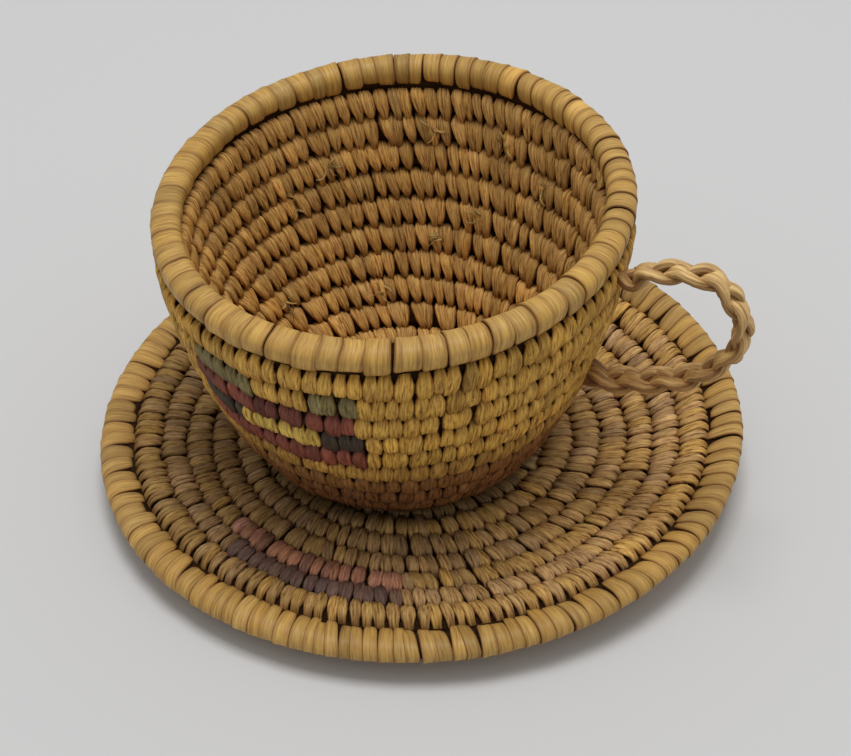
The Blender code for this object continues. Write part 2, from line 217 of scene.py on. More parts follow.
class HandleSizes(PropertyGroup):
    """Sizes of the plaited handle."""

    reach: length("Reach", "How far it stands out from the rim", 20.8)
    lower_height: length("Lower Height", "Height of the lower root", 23.7)
    root_run: length("Root Run", "Straight stretch at the wall", 2.5)
    plait_period: length("Plait Period", "Length of one full plait", 18.0)
    plait_root: length("Plait Root", "Straight stretch before the plait", 1.5)
    strip_width: length("Strip Width", "Width of a folded strip", 3.3)
    strip_thickness: length("Strip Thickness", "Thickness of a folded strip", 1.4)
    strip_swing: length("Strip Swing", "How far a strip swings to each side", 1.5)


class GrassColours(PropertyGroup):
    """Colours of the grass and the dyes, as they look in even light."""

    cup_inside: colour("Cup Inside", "Stitches inside the cup", (0.66, 0.37, 0.120))
    cup_outside: colour("Cup Outside", "Stitches outside the cup", (0.64, 0.36, 0.078))
    # Redder grass, and darker than the rows above as painted shade near the foot
    cup_low_with_shade: colour("Cup Low", "Redder rows near the foot", (0.240, 0.100, 0.036))
    yellow: colour("Yellow", "Fresh stitches between the dark blocks", (0.78, 0.52, 0.12))
    cup_rim: colour("Cup Rim", "Smooth splints on the cup's rim", (0.54, 0.315, 0.080))
    saucer: colour("Saucer", "Stitches of the saucer", (0.46, 0.275, 0.130))
    saucer_ochre: colour("Saucer Ochre", "Fresher saucer stitches", (0.52, 0.305, 0.095))
    saucer_rim: colour("Saucer Rim", "Smooth splints on its rim", (0.50, 0.290, 0.076))
    red: colour("Red", "Faded red dye on the cup", (0.25, 0.066, 0.042))
    dark: colour("Dark", "Faded black dye on the cup", (0.060, 0.040, 0.028))
    green: colour("Green", "Faded green dye", (0.250, 0.200, 0.080))
    rose: colour("Rose", "The saucer's red dye, more faded", (0.48, 0.215, 0.135))
    plum: colour("Plum", "The saucer's black dye, more faded", (0.165, 0.094, 0.076))
    handle: colour("Handle", "Top of the handle", (0.68, 0.44, 0.190))
    handle_low: colour("Handle Low", "Lower run of the handle", (0.62, 0.36, 0.140))
    frayed: colour("Frayed", "Loose ends inside the cup", (0.74, 0.50, 0.190))
    # Near black: painted shade in the gaps between stitches, where the bundle shows
    bundle: colour("Bundle", "Grass inside the rows", (0.036, 0.018, 0.008))


class StageSettings(PropertyGroup):
    """Floor, light and camera."""

    floor: colour("Floor", "Pale floor", (0.66, 0.66, 0.66))
    sky_strength: FloatProperty(name="Sky Strength", description="Even light", default=0.48)
    key_power: FloatProperty(
        name="Key Power", description="Large soft lamp", default=6.0, unit="POWER"
    )
    azimuth: angle("Azimuth", "Camera round the cup", 24)
    elevation: angle("Elevation", "Camera above the table", 37.45)
    roll: angle("Roll", "Camera tilt", -1.09)
    distance: length("Distance", "Camera to the aim point", 320.0)
    lens: FloatProperty(name="Lens", description="Focal length in millimetres", default=72.62)


def smooth(t):
    return t * t * (3 - 2 * t)


class Meridian:
    """The coil's centre line seen side on: flat from the axis, then one Bezier curve to the rim."""

    def __init__(self, flat_radius, height, controls):
        start = np.array((flat_radius, height))
        corners = [start] + [np.array(point) for point in controls]
        t = np.linspace(0.0, 1.0, CURVE_STEPS + 1)[:, None]
        curve = (
            (1 - t) ** 3 * corners[0]
            + 3 * t * (1 - t) ** 2 * corners[1]
            + 3 * t**2 * (1 - t) * corners[2]
            + t**3 * corners[3]
        )
        self.points = np.vstack([[0.0, height], curve])
        steps = np.linalg.norm(np.diff(self.points, axis=0), axis=1)
        self.along = np.concatenate([[0.0], np.cumsum(steps)])
        self.length = self.along[-1]

    def point(self, s):
        return np.array([np.interp(s, self.along, self.points[:, i]) for i in (0, 1)])

    def at(self, s):
        """The centre (r, z) at arc length s, and the unit direction of the rows there."""
        inside = min(s, self.length)
        before = self.point(max(inside - DIRECTION_STEP, 0.0))
        after = self.point(min(inside + DIRECTION_STEP, self.length))
        direction = (after - before) / np.linalg.norm(after - before)
        return self.point(inside) + direction * (s - inside), direction


class Coil:
    """One vessel's spiral, with its rows' centres, directions and sizes by turn count."""

    def __init__(self, meridian, rim_sizes, end_angle, blocks, lean, fade, offset, sewing):
        self.meridian = meridian
        self.rim_half, self.rim_across = rim_sizes[0] / 2, rim_sizes[1] / 2
        self.end_angle = end_angle
        self.lean = lean
        self.fade = fade
        self.offset = np.array(offset)
        self.thickness = sewing.coil_thickness
        self.gap = sewing.row_gap
        self.eye = sewing.eye_radius
        room = meridian.length - self.rim_half - self.gap / 2
        below_rim = max(3, round(room / sewing.row_pitch - 0.5))
        self.turns = below_rim + 1
        self.wall_top = room * below_rim / (below_rim + 0.5)
        reach = self.eye + 2 * TIP_HALF + self.gap / 2
        self.first = max(0.0, reach * below_rim / self.wall_top - 0.5)
        self.spans = [
            (node, dye, self.count_at(row, first), self.count_at(row, last))
            for node, row, first, last, dye in blocks
        ]
        steps = round((self.turns - self.first) * TABLE_STEPS_PER_TURN)
        self.counts = np.linspace(self.first, self.turns, steps)
        self.table = np.array([self.row_at(*self.place(q)) for q in self.counts]).T
        self.wall_end = self.counts[np.flatnonzero(self.table[4] > SMALLEST_HALF)[-1]]

    def row_at(self, s, half, across):
        centre, direction = self.meridian.at(s)
        return (*centre, *direction, half, across)

    def rim_ring(self, tall, wide):
        """The rim row alone, as a closed ring: shares of its height and thickness."""
        ring = copy.copy(self)
        row = self.row_at(self.meridian.length, self.rim_half * tall, self.rim_across * wide)
        ring.counts = np.array((0.0, 1000.0))
        ring.table = np.array([row, row]).T
        return ring

    def count_at(self, row, degrees):
        """The turn count where a row, counted from the rim as 1, passes an angle."""
        part = (self.end_angle - math.radians(degrees)) / math.tau % 1.0
        return self.turns - (row - 1) + part

    def place(self, q):
        """Arc length, half height and half thickness of the wall's rows at turn count q.

        The last of them runs out in a wedge under the rim.
        """
        part = q - math.floor(q) if q < self.turns else 1.0
        lap = smooth(max(0.0, (part - (1 - LAP_TURN)) / LAP_TURN))
        share = self.turns - 1 + min(part, 1 - LAP_TURN) - (1 - LAP_TURN) * lap
        pitch = self.wall_top / share
        half = (pitch - self.gap) / 2
        if q < 1:
            outer = pitch * q + half
            inner = self.eye * (1 - lap) + (pitch * q - half) * lap
            return (inner + outer) / 2, (outer - inner) / 2, self.thickness / 2
        bottom = pitch * q - half
        top = min(pitch * q + half, self.meridian.length - self.rim_half)
        left = max(top - bottom, 0.0) / 2
        return bottom + left, left, self.thickness / 2 * math.sqrt(min(1.0, left / half))

    def section(self, q):
        """Centre r and z, direction r and z, half height and half thickness, for many q."""
        return [np.interp(q, self.counts, column) for column in self.table]

    def turn_length(self, q):
        """The length of one turn of the coil at turn count q."""
        return math.tau * np.maximum(self.section(q)[0], SMALLEST_RADIUS)

    def angle(self, q):
        return self.end_angle - math.tau * q

    def points(self, q, u, v, lift_u, lift_v):
        """World points on the row: u outwards and v towards the rim as shares, plus a lift."""
        r, z, dir_r, dir_z, half, across = self.section(q)
        out = u * across + lift_u
        up = v * half + lift_v
        radius = r + dir_z * out + dir_r * up
        height = z - dir_r * out + dir_z * up
        turn = self.angle(q)
        x, y = radius * np.cos(turn), radius * np.sin(turn)
        height = np.maximum(height + self.lean * y * self.fade(radius, height), 0.0)
        return np.stack([x, y, height], axis=-1) + self.offset

    def march(self, start, end, spacing, jitter, random):
        """Turn counts of stitches from start to end, spaced along the bundle."""
        counts, q = [], start
        while q < end:
            counts.append(q)
            step = spacing(q) * (1 + jitter * random.uniform(-1, 1))
            q += step / self.turn_length(q)
        return np.array(counts)


def cup_seat(scene):
    """Where the middle of the cup's foot stands on the saucer."""
    cup, sewing = scene.basket_cup, scene.basket_sewing
    return np.array((cup.place_x, cup.place_y, sewing.coil_thickness + sewing.touch))


def cup_coil(scene):
    cup, sewing = scene.basket_cup, scene.basket_sewing
    rim_radius = (cup.rim_diameter - cup.rim_row_thickness) / 2
    rim_height = cup.height - cup.rim_row_height / 2
    foot = sewing.coil_thickness / 2
    controls = (
        (cup.foot_radius + cup.heel_reach, foot),
        (rim_radius - cup.flare_inset, rim_height - cup.flare_length),
        (rim_radius, rim_height),
    )
    meridian = Meridian(cup.foot_radius, foot, controls)
    rim_sizes = (cup.rim_row_height, cup.rim_row_thickness)
    lean = cup.rim_rise / cup.rim_diameter

    def fade(r, z):
        return z / cup.height

    return Coil(
        meridian, rim_sizes, cup.coil_end, CUP_BLOCKS, lean, fade, cup_seat(scene), sewing
    )


def saucer_coil(scene):
    saucer, sewing = scene.basket_saucer, scene.basket_sewing
    rim_radius = (saucer.diameter - saucer.rim_row_width) / 2
    rim_height = saucer.height - saucer.rim_row_thickness / 2
    base = sewing.coil_thickness / 2
    controls = (
        (saucer.well_radius + saucer.well_reach, base),
        (rim_radius - saucer.rim_run, rim_height - saucer.rim_drop),
        (rim_radius, rim_height),
    )
    meridian = Meridian(saucer.well_radius, base, controls)
    rim_sizes = (saucer.rim_row_width, saucer.rim_row_thickness)
    lean = saucer.rim_rise / saucer.diameter

    def fade(r, z):
        share = np.maximum(r - saucer.well_radius, 0.0) / (rim_radius - saucer.well_radius)
        return share**2

    return Coil(
        meridian, rim_sizes, saucer.coil_end, SAUCER_BLOCKS, lean, fade, (0.0, 0.0, 0.0), sewing
    )


class StrapStyle:
    """The way of one strap round its row, and the strap's own cross-section.

    The way goes from the inner buried tip over the row's top edge to the outer buried tip. Tips,
    widths and painted shade are given inside first. Each profile is (share of the way from the top
    to the tip, value). Ragged says how unevenly the tips end, and the painted shade how dark a
    strap is painted at its edges, its tips, and its top inside and outside, where it meets or tucks
    under its neighbours.
    """

    TIP_START = 0.62
    TOP_END = 0.42

    def __init__(self, roundness, face_degrees, tips, widths, lifts, section, ragged, painted_shade):
        angles = np.radians(face_degrees)
        u = np.abs(np.sin(angles)) ** (2 / roundness)
        v = np.sign(np.cos(angles)) * np.abs(np.cos(angles)) ** (2 / roundness)
        tip_in, tip_out = np.array(tips[0]).T, np.array(tips[1]).T
        self.u = np.concatenate([-tip_in[0][::-1], -u[::-1], [0.0], u, tip_out[0]])
        self.v = np.concatenate([tip_in[1][::-1], v[::-1], [1.0], v, tip_out[1]])
        half = len(u) + len(tip_in[0])
        self.side = np.concatenate([-np.ones(half), [0.0], np.ones(half)])
        du, dv = np.gradient(self.u), np.gradient(self.v)
        size = np.hypot(du, dv)
        self.normal_u, self.normal_v = -dv / size, du / size
        steps = np.hypot(np.diff(self.u), np.diff(self.v))
        self.along = np.concatenate([[0.0], np.cumsum(steps)])
        away = self.along - self.along[half]
        share = np.where(away < 0, away / away[0], away / away[-1])
        self.share = share
        inside, outside = (np.interp(share, *zip(*profile)) for profile in widths)
        self.width = np.where(self.side < 0, inside, outside)
        self.lift = np.interp(share, *zip(*lifts))
        self.x, self.y, self.groove = np.array(section).T
        self.tip = np.clip((share - self.TIP_START) / (1 - self.TIP_START), 0, 1)
        self.ragged = ragged
        # Painted shade: darker at the strap's edges, its buried tips and its top, where it meets or
        # tucks under its neighbours
        edge_shade, tip_shade, top_in, top_out = painted_shade
        top = np.where(self.side < 0, top_in, top_out) * np.clip(1 - share / self.TOP_END, 0, 1)
        along_shade = (tip_shade * self.tip**2 + top)[:, None]
        self.crevice = np.clip(along_shade + edge_shade * np.abs(self.x)[None, :] ** 6, 0, 1)


# Cross-sections of a strap: across, height, and how far a lengthwise groove sinks each point
RIBBED = (
    (-1.0, 0.0, 0.0), (-0.8, 0.68, 0.0), (-0.5, 0.92, 0.0), (-0.24, 0.96, 1.0),
    (0.04, 1.0, 0.0), (0.36, 0.96, 0.9), (0.68, 0.84, 0.0), (1.0, 0.0, 0.0),
    (0.0, -0.5, 0.0),
)
BAND = (
    (-1.0, -0.3, 0.0), (-0.97, 0.36, 0.0), (-0.84, 0.64, 0.0), (-0.3, 0.74, 0.3),
    (0.25, 0.80, 0.3), (0.78, 0.96, 0.0), (0.96, 0.78, 0.0), (1.0, 0.1, 0.0),
    (0.0, -0.7, 0.0),
)
STITCH_DEGREES = (22, 44, 65, 86)
WALL_STITCH = StrapStyle(
    3.4,
    STITCH_DEGREES,
    (
        ((0.99, -0.42), (0.985, -0.74), (0.93, -1.01), (0.7, -1.26)),
        ((1.0, -0.5), (0.995, -0.8), (0.95, -1.0), (0.76, -1.16)),
    ),
    (
        ((0, 0.6), (0.2, 0.74), (0.36, 1.08), (0.6, 1.02), (0.76, 0.78), (0.9, 0.42), (1, 0.1)),
        ((0, 0.6), (0.26, 0.66), (0.36, 0.82), (0.48, 1.04), (0.78, 1.06), (0.92, 0.84), (1, 0.45)),
    ),
    ((0, 0.35), (0.2, 0.65), (0.4, 1.0), (0.74, 1.0), (0.9, 0.75), (1, 0.1)),
    RIBBED,
    0.10,
    (0.55, 0.75, 0.95, 0.75),
)
FLAT_TIPS = ((1.0, -0.5), (0.99, -0.8), (0.95, -1.02), (0.76, -1.2))
FLAT_WIDTHS = (
    (0, 0.6), (0.26, 0.7), (0.36, 0.9), (0.48, 1.08),
    (0.78, 1.06), (0.91, 0.74), (1, 0.3),
)
FLAT_STITCH = StrapStyle(
    3.2,
    STITCH_DEGREES,
    (FLAT_TIPS, FLAT_TIPS),
    (FLAT_WIDTHS, FLAT_WIDTHS),
    ((0, 0.35), (0.2, 0.65), (0.4, 0.95), (0.74, 0.95), (0.9, 0.7), (1, 0.1)),
    RIBBED,
    0.10,
    (0.7, 0.75, 0.85, 0.6),
)
RIM_WRAP = StrapStyle(
    2.3,
    (13, 27, 41, 55, 69, 83, 97),
    (
        ((0.94, -0.56), (0.88, -0.8), (0.79, -1.0), (0.64, -1.18)),
        ((0.96, -0.6), (0.94, -0.88), (0.88, -1.12), (0.74, -1.3)),
    ),
    (
        ((0, 1.0), (0.5, 1.0), (0.74, 0.97), (0.9, 0.76), (1, 0.36)),
        ((0, 1.0), (0.5, 1.0), (0.8, 1.0), (0.93, 0.88), (1, 0.5)),
    ),
    ((0, 1.0), (0.7, 1.0), (0.9, 0.85), (1, 0.2)),
    BAND,
    0.16,
    (1.0, 0.5, 0.0, 0.0),
)


class Straps:
    """Points and point data of many straps that share one style."""

    # How a lean grows towards the tips, how deep the grooves are, how far each strap's grain is
    # shifted in millimetres, and how soon past the top the tint of its own side takes over
    LEAN_CURVE = 1.2
    GROOVE_DEPTHS = (0.1, 0.65)
    GRAIN_SHIFT = 40.0
    TINT_TURN = 6

    def __init__(self, coil, style, q, width, thickness, leans, random):
        count = len(q)
        grid = (count, len(style.u), len(style.x))
        outer = style.side[None, :] > 0
        lean = np.where(outer, leans[0][:, None], leans[1][:, None])
        lean = (lean * style.share[None, :] ** self.LEAN_CURVE)[:, :, None]
        across = style.x[None, None, :] * width[:, None, None] / 2 * style.width[None, :, None]
        counts = q[:, None, None] + (across + lean) / coil.turn_length(q)[:, None, None]
        depth = random.uniform(*self.GROOVE_DEPTHS, count)[:, None, None]
        height = style.y[None, None, :] - depth * style.groove[None, None, :]
        lift = thickness[:, None, None] * style.lift[None, :, None] * height
        reach = style.ragged * random.standard_normal((count, 2))
        reach = np.where(outer, reach[:, :1], reach[:, 1:]) * style.tip[None, :]
        v = style.v[None, :] + reach
        onto_next = (v < -1.0) & (q[:, None] > coil.counts[0] + 1.1)
        counts = counts - onto_next[:, :, None]
        u = np.broadcast_to(style.u[None, :, None], grid)
        v = np.broadcast_to((v + 2 * onto_next)[:, :, None], grid)
        normal_u = style.normal_u[None, :, None]
        normal_v = style.normal_v[None, :, None]
        self.points = coil.points(counts, u, v, normal_u * lift, normal_v * lift)
        along = style.along[None, :, None] * coil.thickness / 2 / MM
        offset = self.GRAIN_SHIFT * random.random(count)[:, None, None]
        flip = np.sign(random.random(count) - 0.5)[:, None, None]
        self.across = across / MM * flip + offset * 3
        self.along = np.broadcast_to(along + offset, grid)
        self.crevice = np.broadcast_to(style.crevice[None], grid)
        # The painted shade on each point's tint: add_stitches sets it to the painted contact shadow
        # round the cup's foot
        self.shade = np.ones(grid)
        side = style.side * np.minimum(style.share * self.TINT_TURN, 1)
        self.outside = smooth((np.broadcast_to(side[None, :, None], grid) + 1) / 2)[..., None]

    def place(self, name, chosen, tint_out, tint_in, piece):
        """A piece from the chosen straps, coloured by one tint outside and one inside, times their
        painted shade.
        """
        blend = self.outside[chosen]
        outer, inner = (tint[chosen][:, None, None, :] for tint in (tint_out, tint_in))
        tint = (outer * blend + inner * (1 - blend)) * self.shade[chosen][..., None]
        _, along, around = self.shade.shape
        faces = tube_faces(along, around, len(chosen))
        maps = (self.across[chosen], self.along[chosen])
        make_mesh(name, self.points[chosen], faces, maps, tint, self.crevice[chosen], piece)


def tube_faces(along, around, count=1):
    """Quads and end caps of closed tubes, as loops of point numbers and loop sizes."""
    start = np.arange(count)[:, None, None] * along * around
    j = np.arange(along - 1)[None, :, None] * around
    i = np.arange(around)[None, None, :]
    after = (i + 1) % around
    corners = (i, after, around + after, around + i)
    quads = np.stack([start + j + corner for corner in corners], axis=-1)
    ring = np.arange(around)
    first = start[:, 0] + ring[::-1]
    last = start[:, 0] + (along - 1) * around + ring
    loops = np.concatenate([quads.ravel(), first.ravel(), last.ravel()])
    return loops, np.repeat([4, around], [quads.size // 4, 2 * count])


def make_mesh(name, points, faces, maps, tint, crevice, piece):
    """One piece of the object, smooth, with its strand map, tint and crevice depth, which is
    painted shade.

    Maps are the strand's millimetres across and along. Piece is the name of the grass, the body,
    the material slot, which is not used, and the CAD nodes that it replaces.
    """
    grass, body, slot, nodes = piece
    loops, sizes = faces
    grid = points.shape[:-1]
    data = bpy.data.meshes.new(name)
    data.vertices.add(math.prod(grid))
    data.vertices.foreach_set("co", points.astype(np.float32).ravel())
    data.loops.add(len(loops))
    data.loops.foreach_set("vertex_index", loops.astype(np.int32))
    data.polygons.add(len(sizes))
    starts = np.concatenate([[0], np.cumsum(sizes)[:-1]])
    data.polygons.foreach_set("loop_start", starts.astype(np.int32))
    data.polygons.foreach_set("use_smooth", np.ones(len(sizes), bool))
    data.update(calc_edges=True)
    strand = data.uv_layers.new(name="Strand")
    uv = np.stack([np.broadcast_to(part, grid).ravel()[loops] for part in maps], axis=-1)
    strand.data.foreach_set("uv", uv.astype(np.float32).ravel())
    shown = data.color_attributes.new(name="Tint", type="FLOAT_COLOR", domain="POINT")
    filled = np.ones((*grid, 4), np.float32)
    filled[..., :3] = tint
    shown.data.foreach_set("color", filled.ravel())
    depth = data.attributes.new("Crevice", "FLOAT", "POINT")
    depth.data.foreach_set("value", np.broadcast_to(crevice, grid).astype(np.float32).ravel())
    data.materials.append(grass_material(grass))
    made = bpy.data.objects.new(name, data)
    bpy.context.scene.collection.objects.link(made)
    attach(made, body)
    if nodes:
        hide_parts(*nodes)


def varied(base, count, random, value, warmth):
    """Colours of single straps round one colour, lighter, darker, redder or yellower."""
    bright = 1 + value * random.standard_normal(count)
    warm = warmth * random.standard_normal(count)
    scale = np.stack([bright * (1 + warm * 0.3), bright, bright * (1 - warm)], axis=-1)
    return np.clip(np.array(base) * scale, 0.004, 1.0)


def random_for(scene, name):
    return np.random.default_rng([scene.basket_sewing.seed, sum(name.encode())])


# Materials: each grass's fibre scales across and along, streak depth, patch depth, bump, coat
# and specular level
GRASSES = {
    "sewn_grass": (2.9, 0.3, 0.9, 0.35, 0.75, 0.0, 0.24),
    "dyed_grass": (2.9, 0.3, 0.8, 0.5, 0.75, 0.0, 0.35),
    "smooth_rim_splint": (2.2, 0.16, 0.5, 0.3, 0.35, 0.14, 0.35),
    "plaited_grass": (2.6, 0.22, 0.8, 0.35, 0.6, 0.05, 0.35),
    "bundle_grass_painted_shade": (1.5, 0.1, 0.8, 0.3, 0.8, 0.0, 0.04),
}
NUMBER, COLOUR = "NodeSocketFloat", "NodeSocketColor"
BUMP_DISTANCE = 0.22 * MM
COAT_ROUGHNESS = 0.35


def add_node(tree, kind, inputs, **settings):
    """A new node with its settings, and its inputs given as values or as sockets to link."""
    made = tree.nodes.new(kind)
    for name, value in settings.items():
        setattr(made, name, value)
    give(tree, made, inputs)
    return made


def give(tree, node, inputs):
    for key, value in inputs.items():
        if isinstance(value, bpy.types.NodeSocket):
            tree.links.new(value, node.inputs[key])
        else:
            node.inputs[key].default_value = value


def new_group(name, inputs, outputs):
    group = bpy.data.node_groups.new(name, "ShaderNodeTree")
    for label, kind, default in inputs:
        socket = group.interface.new_socket(name=label, in_out="INPUT", socket_type=kind)
        socket.default_value = default
    for label, kind in outputs:
        group.interface.new_socket(name=label, in_out="OUTPUT", socket_type=kind)
    return group, group.nodes.new("NodeGroupInput").outputs, group.nodes.new("NodeGroupOutput")


def maths(tree, operation, first, second):
    inputs = {0: first, 1: second}
    return add_node(tree, "ShaderNodeMath", inputs, operation=operation).outputs["Value"]


def multiplied(tree, factor, first, second):
    inputs = {0: factor, 6: first, 7: second}
    kind = {"data_type": "RGBA", "blend_type": "MULTIPLY"}
    return add_node(tree, "ShaderNodeMix", inputs, **kind).outputs[2]


def fibre_group():
    """Fine fibres that run along each strap, as a streak value and a height."""
    group, given, made = new_group(
        "grass_fibre",
        (("Across Scale", NUMBER, 3.0), ("Along Scale", NUMBER, 0.35), ("Fray", NUMBER, 0.4)),
        (("Streak", NUMBER), ("Height", NUMBER)),
    )
    strand = add_node(group, "ShaderNodeUVMap", {}, uv_map="Strand")
    parts = add_node(group, "ShaderNodeSeparateXYZ", {0: strand.outputs["UV"]})
    across = maths(group, "MULTIPLY", parts.outputs[0], given["Across Scale"])
    along = maths(group, "MULTIPLY", parts.outputs[1], given["Along Scale"])
    place = add_node(group, "ShaderNodeCombineXYZ", {0: across, 1: along}).outputs[0]
    coarse = {"Scale": 1.0, "Detail": 3.5, "Roughness": 0.62, "Distortion": 0.25}
    noise = add_node(group, "ShaderNodeTexNoise", {"Vector": place, **coarse})
    spread = {"From Min": 0.3, "From Max": 0.7, "Value": noise.outputs["Fac"]}
    streak = add_node(group, "ShaderNodeMapRange", spread).outputs["Result"]
    fine = add_node(group, "ShaderNodeTexNoise", {"Vector": place, "Scale": 3.1, "Detail": 2.0})
    frayed = maths(group, "MULTIPLY", fine.outputs["Fac"], given["Fray"])
    give(group, made, {"Streak": streak, "Height": maths(group, "ADD", streak, frayed)})
    return group


def stain_group():
    """Soft light and dark patches over the whole basket, from handling and drying."""
    group, given, made = new_group(
        "dried_patches", (("Size", NUMBER, 60.0), ("Depth", NUMBER, 0.3)), (("Value", NUMBER),)
    )
    place = add_node(group, "ShaderNodeTexCoord", {}).outputs["Object"]
    patchy = {"Vector": place, "Scale": given["Size"], "Detail": 3.0}
    noise = add_node(group, "ShaderNodeTexNoise", patchy).outputs["Fac"]
    scaled = maths(group, "MULTIPLY", maths(group, "SUBTRACT", noise, 0.5), given["Depth"])
    give(group, made, {"Value": maths(group, "ADD", scaled, 1.0)})
    return group


def grass_colour_group():
    """A strap's colour and roughness with its fibres, patches and the painted shade in its
    crevices.
    """
    group, given, made = new_group(
        "aged_grass",
        (
            ("Colour", COLOUR, (0.4, 0.25, 0.1, 1.0)),
            ("Streak", NUMBER, 0.5),
            ("Streak Depth", NUMBER, 0.5),
            ("Patches", NUMBER, 1.0),
            ("Crevice", NUMBER, 0.0),
            ("Crevice Shade", COLOUR, (0.30, 0.17, 0.09, 1.0)),
        ),
        (("Colour", COLOUR), ("Roughness", NUMBER)),
    )
    streaks = add_node(group, "ShaderNodeValToRGB", {"Fac": given["Streak"]})
    ramp = streaks.color_ramp.elements
    ramp[0].color, ramp[0].position = (0.20, 0.11, 0.06, 1.0), 0.0
    ramp[1].color, ramp[1].position = (1.46, 1.62, 1.44, 1.0), 0.9
    ramp.new(0.38).color = (0.84, 0.78, 0.68, 1.0)
    depth, streak = given["Streak Depth"], streaks.outputs["Color"]
    streaked = multiplied(group, depth, given["Colour"], streak)
    grey = add_node(group, "ShaderNodeCombineColor", dict.fromkeys((0, 1, 2), given["Patches"]))
    patched = multiplied(group, 1.0, streaked, grey.outputs["Color"])
    # Painted shade: the crevice value darkens the colour towards a dark brown
    shaded = multiplied(group, given["Crevice"], patched, given["Crevice Shade"])
    rough = maths(group, "MULTIPLY", given["Streak"], -0.16)
    rougher = maths(group, "MULTIPLY", given["Crevice"], 0.25)
    total = maths(group, "ADD", maths(group, "ADD", rough, rougher), 0.68)
    give(group, made, {"Colour": shaded, "Roughness": total})
    return group


def shared_group(tree, name, build, inputs):
    shared = bpy.data.node_groups.get(name) or build()
    node = tree.nodes.new("ShaderNodeGroup")
    node.node_tree = shared
    give(tree, node, inputs)
    return node.outputs


def grass_material(name):
    """Split grass: tinted strap by strap, with fibres, patches and painted shade in the crevices.
    """
    existing = bpy.data.materials.get(name)
    if existing:
        return existing
    across, along, streak_depth, patch_depth, bump, coat, shine = GRASSES[name]
    material = bpy.data.materials.new(name)
    material.use_nodes = True
    tree = material.node_tree
    tint = add_node(tree, "ShaderNodeAttribute", {}, attribute_name="Tint")
    crevice = add_node(tree, "ShaderNodeAttribute", {}, attribute_name="Crevice")
    scales = {"Across Scale": across, "Along Scale": along}
    fibre = shared_group(tree, "grass_fibre", fibre_group, scales)
    patches = shared_group(tree, "dried_patches", stain_group, {"Depth": patch_depth})
    look = {
        "Colour": tint.outputs["Color"],
        "Streak": fibre["Streak"],
        "Streak Depth": streak_depth,
        "Patches": patches["Value"],
        "Crevice": crevice.outputs["Fac"],
    }
    aged = shared_group(tree, "aged_grass", grass_colour_group, look)
    relief = {"Strength": bump, "Distance": BUMP_DISTANCE, "Height": fibre["Height"]}
    shader = {
        "Base Color": aged["Colour"],
        "Roughness": aged["Roughness"],
        "Normal": add_node(tree, "ShaderNodeBump", relief).outputs["Normal"],
        "Specular IOR Level": shine,
        "Coat Weight": coat,
        "Coat Roughness": COAT_ROUGHNESS,
    }
    give(tree, tree.nodes["Principled BSDF"], shader)
    return material


# Pieces


def add_bundle(coil, name, start, end, shares, tint, body, nodes):
    """The bundle under the stitches, near black as painted shade in the gaps: one unbroken spiral,
    snug from row to row.
    """
    wide, tall, low = shares
    q = np.linspace(start, end, round((end - start) * BUNDLE_STEPS_PER_TURN))[:, None]
    phi = np.linspace(0, math.tau, BUNDLE_SIDES, endpoint=False)[None, :]
    ripple = 1 + BUNDLE_RIPPLE * np.sin(5 * phi + 9 * q)
    u = wide * np.sin(phi) * ripple
    v = np.where(np.cos(phi) > 0, tall, low) * np.cos(phi) * ripple
    zero = np.zeros_like(u)
    points = coil.points(np.broadcast_to(q, u.shape), u, v, zero, zero)
    faces = tube_faces(*u.shape)
    piece = ("bundle_grass_painted_shade", body, body + "_grass", nodes)
    make_mesh(name, points, faces, (phi * 2.4, q * 150), np.array(tint), BUNDLE_CREVICE, piece)


def contact_shadow(points):
    """The painted contact shadow where the cup stands on its saucer, as a share at each point."""
    scene = bpy.context.scene
    seat = cup_seat(scene)
    away = np.hypot(points[..., 0] - seat[0], points[..., 1] - seat[1])
    level = np.clip(1 - np.abs(points[..., 2] - seat[2]) / RING_HEIGHT, 0, 1)
    ring = np.exp(-(((away - scene.basket_cup.foot_radius - RING_OUT) / RING_WIDTH) ** 2))
    return np.clip(RING_GAIN * level * ring, 0, 1)


def aimed_leans(coil, q, lean, pull):
    """Leans that carry each strap's tip towards a gap between the stitches one row below."""
    goal = q + lean / coil.turn_length(q) - 1.0
    after = np.clip(np.searchsorted(q, goal), 1, len(q) - 1)
    gap = (q[after - 1] + q[after]) / 2
    found = (goal > q[0]) & (goal < q[-1])
    target = np.where(found, pull * gap + (1 - pull) * goal, goal)
    return (target + 1.0 - q) * coil.turn_length(q)


def add_stitches(coil, body, style, spacing, thickness, leans, tints, dyes, random):
    """All wall stitches of one vessel: undyed ones in two pieces, and one for each dyed block."""
    start = coil.first + FIRST_STITCH
    q = coil.march(start, coil.wall_end, lambda at: spacing, STITCH_JITTER, random)
    count = len(q)
    width = np.gradient(q) * coil.turn_length(q) * random.uniform(*STITCH_WIDTHS, count)
    aimed = [
        aimed_leans(coil, q, lean + spread * random.standard_normal(count), aim)
        for lean, spread, aim in zip(leans, STITCH_LEAN_SPREADS, STITCH_AIMS)
    ]
    bulge = thickness * random.uniform(*STITCH_BULGES, count)
    straps = Straps(coil, style, q, width, bulge, aimed, random)
    # Painted contact shadow: darkens the straps in a ring round the cup's foot
    straps.shade = 1 - RING_DARKNESS * contact_shadow(straps.points)
    tint_out, tint_in = tints(coil, q, random)
    undyed = np.ones(count, bool)
    for node, dye, first, last in coil.spans:
        inside = (q >= first) & (q <= last)
        undyed &= ~inside
        dyed = varied(dyes[dye], count, random, 0.18, 0.06)
        piece = ("dyed_grass", body, dye + "_splint", [node])
        straps.place(node + "_sewn", np.flatnonzero(inside), dyed, dyed, piece)
    outer = q > coil.turns - OUTER_ROWS
    piece = ("sewn_grass", body, body + "_grass", [])
    for name, part in (("_stitches_outer", undyed & outer), ("_stitches_inner", undyed & ~outer)):
        straps.place(body + name, np.flatnonzero(part), tint_out, tint_in, piece)


